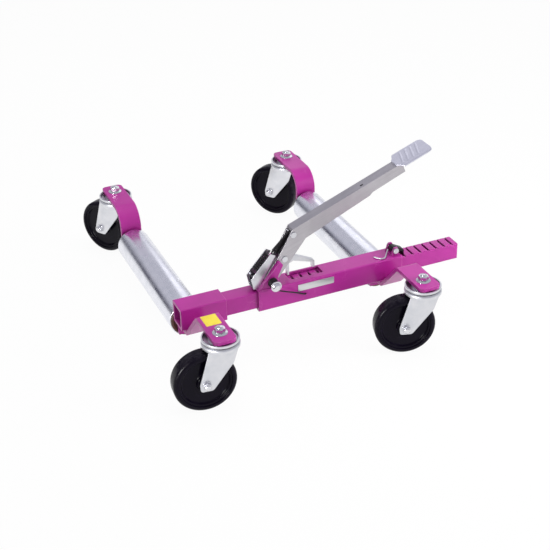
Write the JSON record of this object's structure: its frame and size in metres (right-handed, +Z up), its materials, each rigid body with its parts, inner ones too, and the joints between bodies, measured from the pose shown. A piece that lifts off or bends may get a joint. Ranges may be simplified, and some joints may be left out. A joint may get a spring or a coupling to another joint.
{
  "type": "vehicle positioning jack",
  "caption": "Ratcheting wheel dolly: two rollers on a telescoping beam, drawn together under a tyre by a foot pedal, standing on swivel casters.",
  "frame": {"origin": "on the floor, under the middle of the object's length and depth", "axes": "+X along the beam towards the rack's free end, +Y back along the rollers, +Z up"},
  "size_m": [0.7286, 0.8218, 0.3904],
  "materials": {
    "purple_coat": "gloss powder coat",
    "plain_steel": "turned",
    "galvanised": "satin galvanised",
    "white_zinc": "bright zinc plate",
    "black_steel": "black oxide",
    "brown_bush": "moulded",
    "black_wheel": "hard moulded"
  },
  "bodies": {
    "main_frame": {"outer_tube": "purple_coat", "front_ear": "purple_coat", "rear_ear": "purple_coat", "right_front_bracket": "purple_coat", "right_rear_bracket": "purple_coat", "right_axle": "plain_steel", "right_kingpins": "white_zinc", "upper_race_fr": "white_zinc", "upper_race_rr": "white_zinc", "pivot_bolt": "white_zinc", "torsion_spring": "black_steel", "anchor_bracket": "white_zinc", "anchor_pin": "white_zinc", "pawl_saddle": "purple_coat", "holding_pin": "white_zinc", "pawl_spring": "white_zinc"},
    "rack_frame": {"inner_rack_tube": "purple_coat", "left_sleeve": "purple_coat", "left_front_bracket": "purple_coat", "left_rear_bracket": "purple_coat", "left_axle": "plain_steel", "left_kingpins": "white_zinc", "upper_race_fl": "white_zinc", "upper_race_rl": "white_zinc"},
    "pedal": {"pedal_lever": "white_zinc", "foot_pad": "white_zinc", "pawl_pin": "white_zinc", "spring_pin": "white_zinc"},
    "drive_pawl": {"drive_pawl": "white_zinc"},
    "drawbar": {"drawbar": "black_steel"},
    "return_spring": {"return_spring": "black_steel"},
    "holding_pawl": {"holding_pawl": "black_steel"},
    "left_roller": {"left_roller": "galvanised", "left_roller_front_bush": "brown_bush", "left_roller_rear_bush": "brown_bush"},
    "right_roller": {"right_roller": "galvanised", "right_roller_front_bush": "brown_bush", "right_roller_rear_bush": "brown_bush"},
    "caster_fl": {"fork_fl": "white_zinc", "axle_bolt_fl": "white_zinc"},
    "caster_wheel_fl": {"wheel_fl": "black_wheel", "wheel_bush_fl": "plain_steel"},
    "caster_fr": {"fork_fr": "white_zinc", "axle_bolt_fr": "white_zinc"},
    "caster_wheel_fr": {"wheel_fr": "black_wheel", "wheel_bush_fr": "plain_steel"},
    "caster_rl": {"fork_rl": "white_zinc", "axle_bolt_rl": "white_zinc"},
    "caster_wheel_rl": {"wheel_rl": "black_wheel", "wheel_bush_rl": "plain_steel"},
    "caster_rr": {"fork_rr": "white_zinc", "axle_bolt_rr": "white_zinc"},
    "caster_wheel_rr": {"wheel_rr": "black_wheel", "wheel_bush_rr": "plain_steel"}
  },
  "joints": [
    {"name": "rack_slide", "type": "slide", "parent": "main_frame", "child": "rack_frame", "axis": [1, 0, 0], "range_m": [-0.12, 0.06]},
    {"name": "pedal_hinge", "type": "hinge", "parent": "main_frame", "child": "pedal", "pos_m": [-0.08875, -0.20393, 0.158], "axis": [0, 1, 0], "range_deg": [0, 27]},
    {"name": "drive_pawl_hinge", "type": "hinge", "parent": "pedal", "child": "drive_pawl", "pos_m": [-0.05375, -0.20393, 0.197], "axis": [0, 1, 0], "range_deg": [-27, 0]},
    {"name": "drawbar_hinge", "type": "hinge", "parent": "pedal", "child": "drawbar", "pos_m": [-0.03275, -0.20393, 0.249], "axis": [0, 1, 0], "range_deg": [-5.5, 0]},
    {"name": "return_spring_hinge", "type": "hinge", "parent": "main_frame", "child": "return_spring", "pos_m": [-0.12175, -0.20393, 0.167], "axis": [0, 1, 0], "range_deg": [0, 22.5], "deforming": ["return_spring"]},
    {"name": "holding_pawl_hinge", "type": "hinge", "parent": "main_frame", "child": "holding_pawl", "pos_m": [0.20975, -0.20393, 0.153], "axis": [0, 1, 0], "range_deg": [-30, 8]},
    {"name": "left_roller_spin", "type": "hinge", "parent": "rack_frame", "child": "left_roller", "pos_m": [-0.26075, 0.01107, 0.082], "axis": [0, 1, 0], "continuous": true},
    {"name": "right_roller_spin", "type": "hinge", "parent": "main_frame", "child": "right_roller", "pos_m": [0.18925, 0.01107, 0.082], "axis": [0, 1, 0], "continuous": true},
    {"name": "swivel_fl", "type": "hinge", "parent": "rack_frame", "child": "caster_fl", "pos_m": [-0.26075, -0.37193, 0.14], "axis": [0, 0, 1], "continuous": true},
    {"name": "wheel_spin_fl", "type": "hinge", "parent": "caster_fl", "child": "caster_wheel_fl", "pos_m": [-0.29861, -0.36862, 0.065], "axis": [-0.0872, -0.9962, 0], "continuous": true},
    {"name": "swivel_fr", "type": "hinge", "parent": "main_frame", "child": "caster_fr", "pos_m": [0.18925, -0.37193, 0.14], "axis": [0, 0, 1], "continuous": true},
    {"name": "wheel_spin_fr", "type": "hinge", "parent": "caster_fr", "child": "caster_wheel_fr", "pos_m": [0.15291, -0.36082, 0.065], "axis": [-0.2924, -0.9563, 0], "continuous": true},
    {"name": "swivel_rl", "type": "hinge", "parent": "rack_frame", "child": "caster_rl", "pos_m": [-0.26075, 0.31707, 0.14], "axis": [0, 0, 1], "continuous": true},
    {"name": "wheel_spin_rl", "type": "hinge", "parent": "caster_rl", "child": "caster_wheel_rl", "pos_m": [-0.28089, 0.3493, 0.065], "axis": [-0.848, -0.5299, 0], "continuous": true},
    {"name": "swivel_rr", "type": "hinge", "parent": "main_frame", "child": "caster_rr", "pos_m": [0.18925, 0.31707, 0.14], "axis": [0, 0, 1], "continuous": true},
    {"name": "wheel_spin_rr", "type": "hinge", "parent": "caster_rr", "child": "caster_wheel_rr", "pos_m": [0.168, 0.34857, 0.065], "axis": [-0.829, -0.5592, 0], "continuous": true}
  ],
  "couplings": [
    {"joint": "drive_pawl_hinge", "follows": "pedal_hinge", "ratio": -1},
    {"joint": "drawbar_hinge", "follows": "pedal_hinge", "ratio": -0.1833},
    {"joint": "return_spring_hinge", "follows": "pedal_hinge", "ratio": 0.8167}
  ]
}
